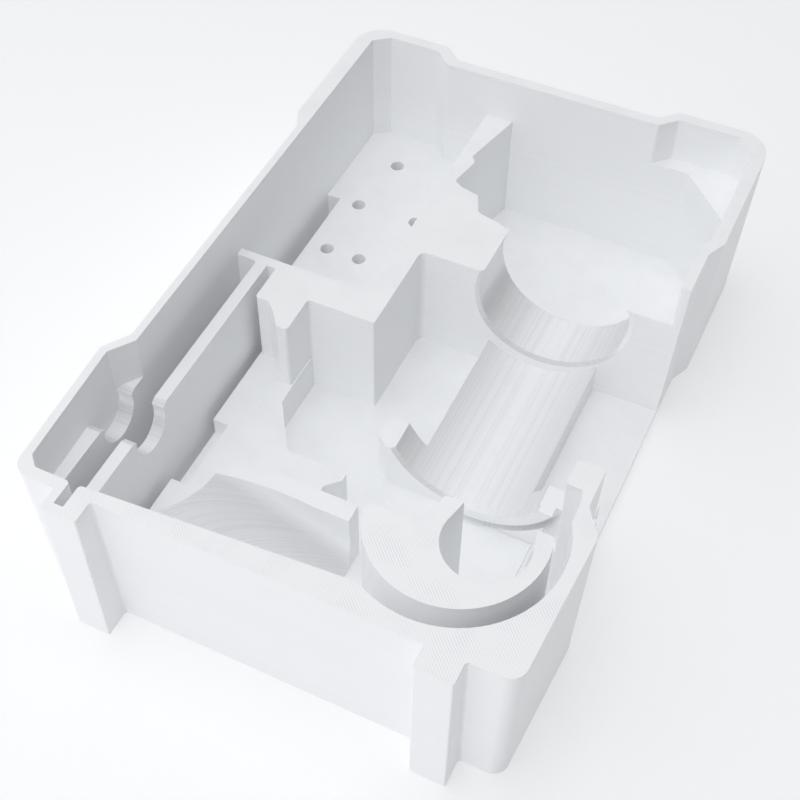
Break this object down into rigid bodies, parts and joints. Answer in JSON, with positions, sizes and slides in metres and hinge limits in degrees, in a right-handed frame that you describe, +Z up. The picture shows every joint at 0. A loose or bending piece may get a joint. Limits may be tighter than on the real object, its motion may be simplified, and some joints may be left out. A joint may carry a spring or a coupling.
{
  "type": "tool case insert",
  "caption": "One-piece moulded tray insert for a power tool case, with saddles, a cradle, an inclined trough, a round well and side pockets.",
  "frame": {"origin": "middle of the footprint, on the base", "axes": "+X to the right across the tray, +Y from the legs at the front to the back wall, +Z up"},
  "size_m": [0.2556, 0.38, 0.099],
  "materials": {
    "white_plastic": "white satin plastic, printed in layers, with fine horizontal lines on its walls and a diagonal hatch on its flat faces"
  },
  "bodies": {
    "root": {"case_insert": "white_plastic"}
  },
  "joints": []
}
